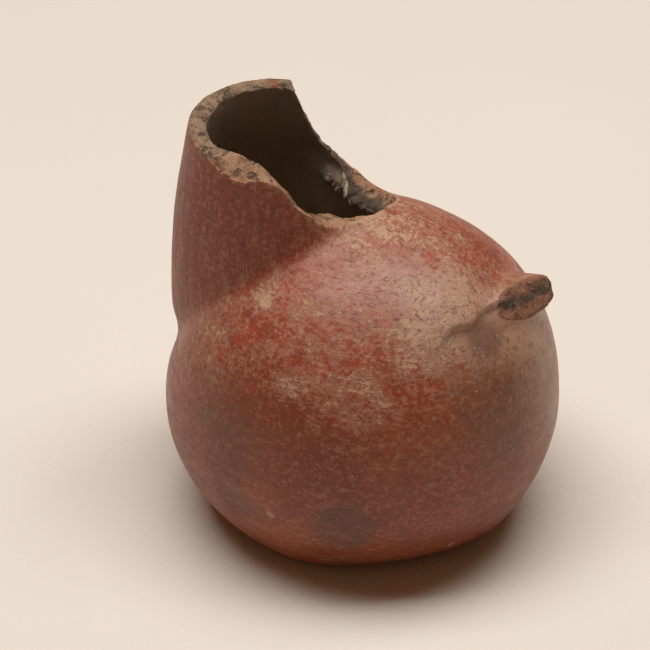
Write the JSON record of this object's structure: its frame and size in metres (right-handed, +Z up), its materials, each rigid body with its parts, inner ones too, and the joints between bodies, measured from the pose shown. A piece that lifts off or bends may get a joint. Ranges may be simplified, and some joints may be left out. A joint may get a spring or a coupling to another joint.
{
  "type": "jug",
  "caption": "Hand-built, red-slipped clay jug with a round body, off-centre neck, broken mouth and the stump of a handle.",
  "frame": {"origin": "on the flat underside of the foot, under the middle of the round body", "axes": "+Z up; +X from the neck towards the stump of the handle"},
  "size_m": [0.1149, 0.106, 0.1168],
  "materials": {
    "fired_clay": "red slip, stroke burnished to a dull gloss, worn through to buff clay; rough breaks; dark bare hollow"
  },
  "bodies": {
    "root": {"jug": "fired_clay"}
  },
  "joints": []
}
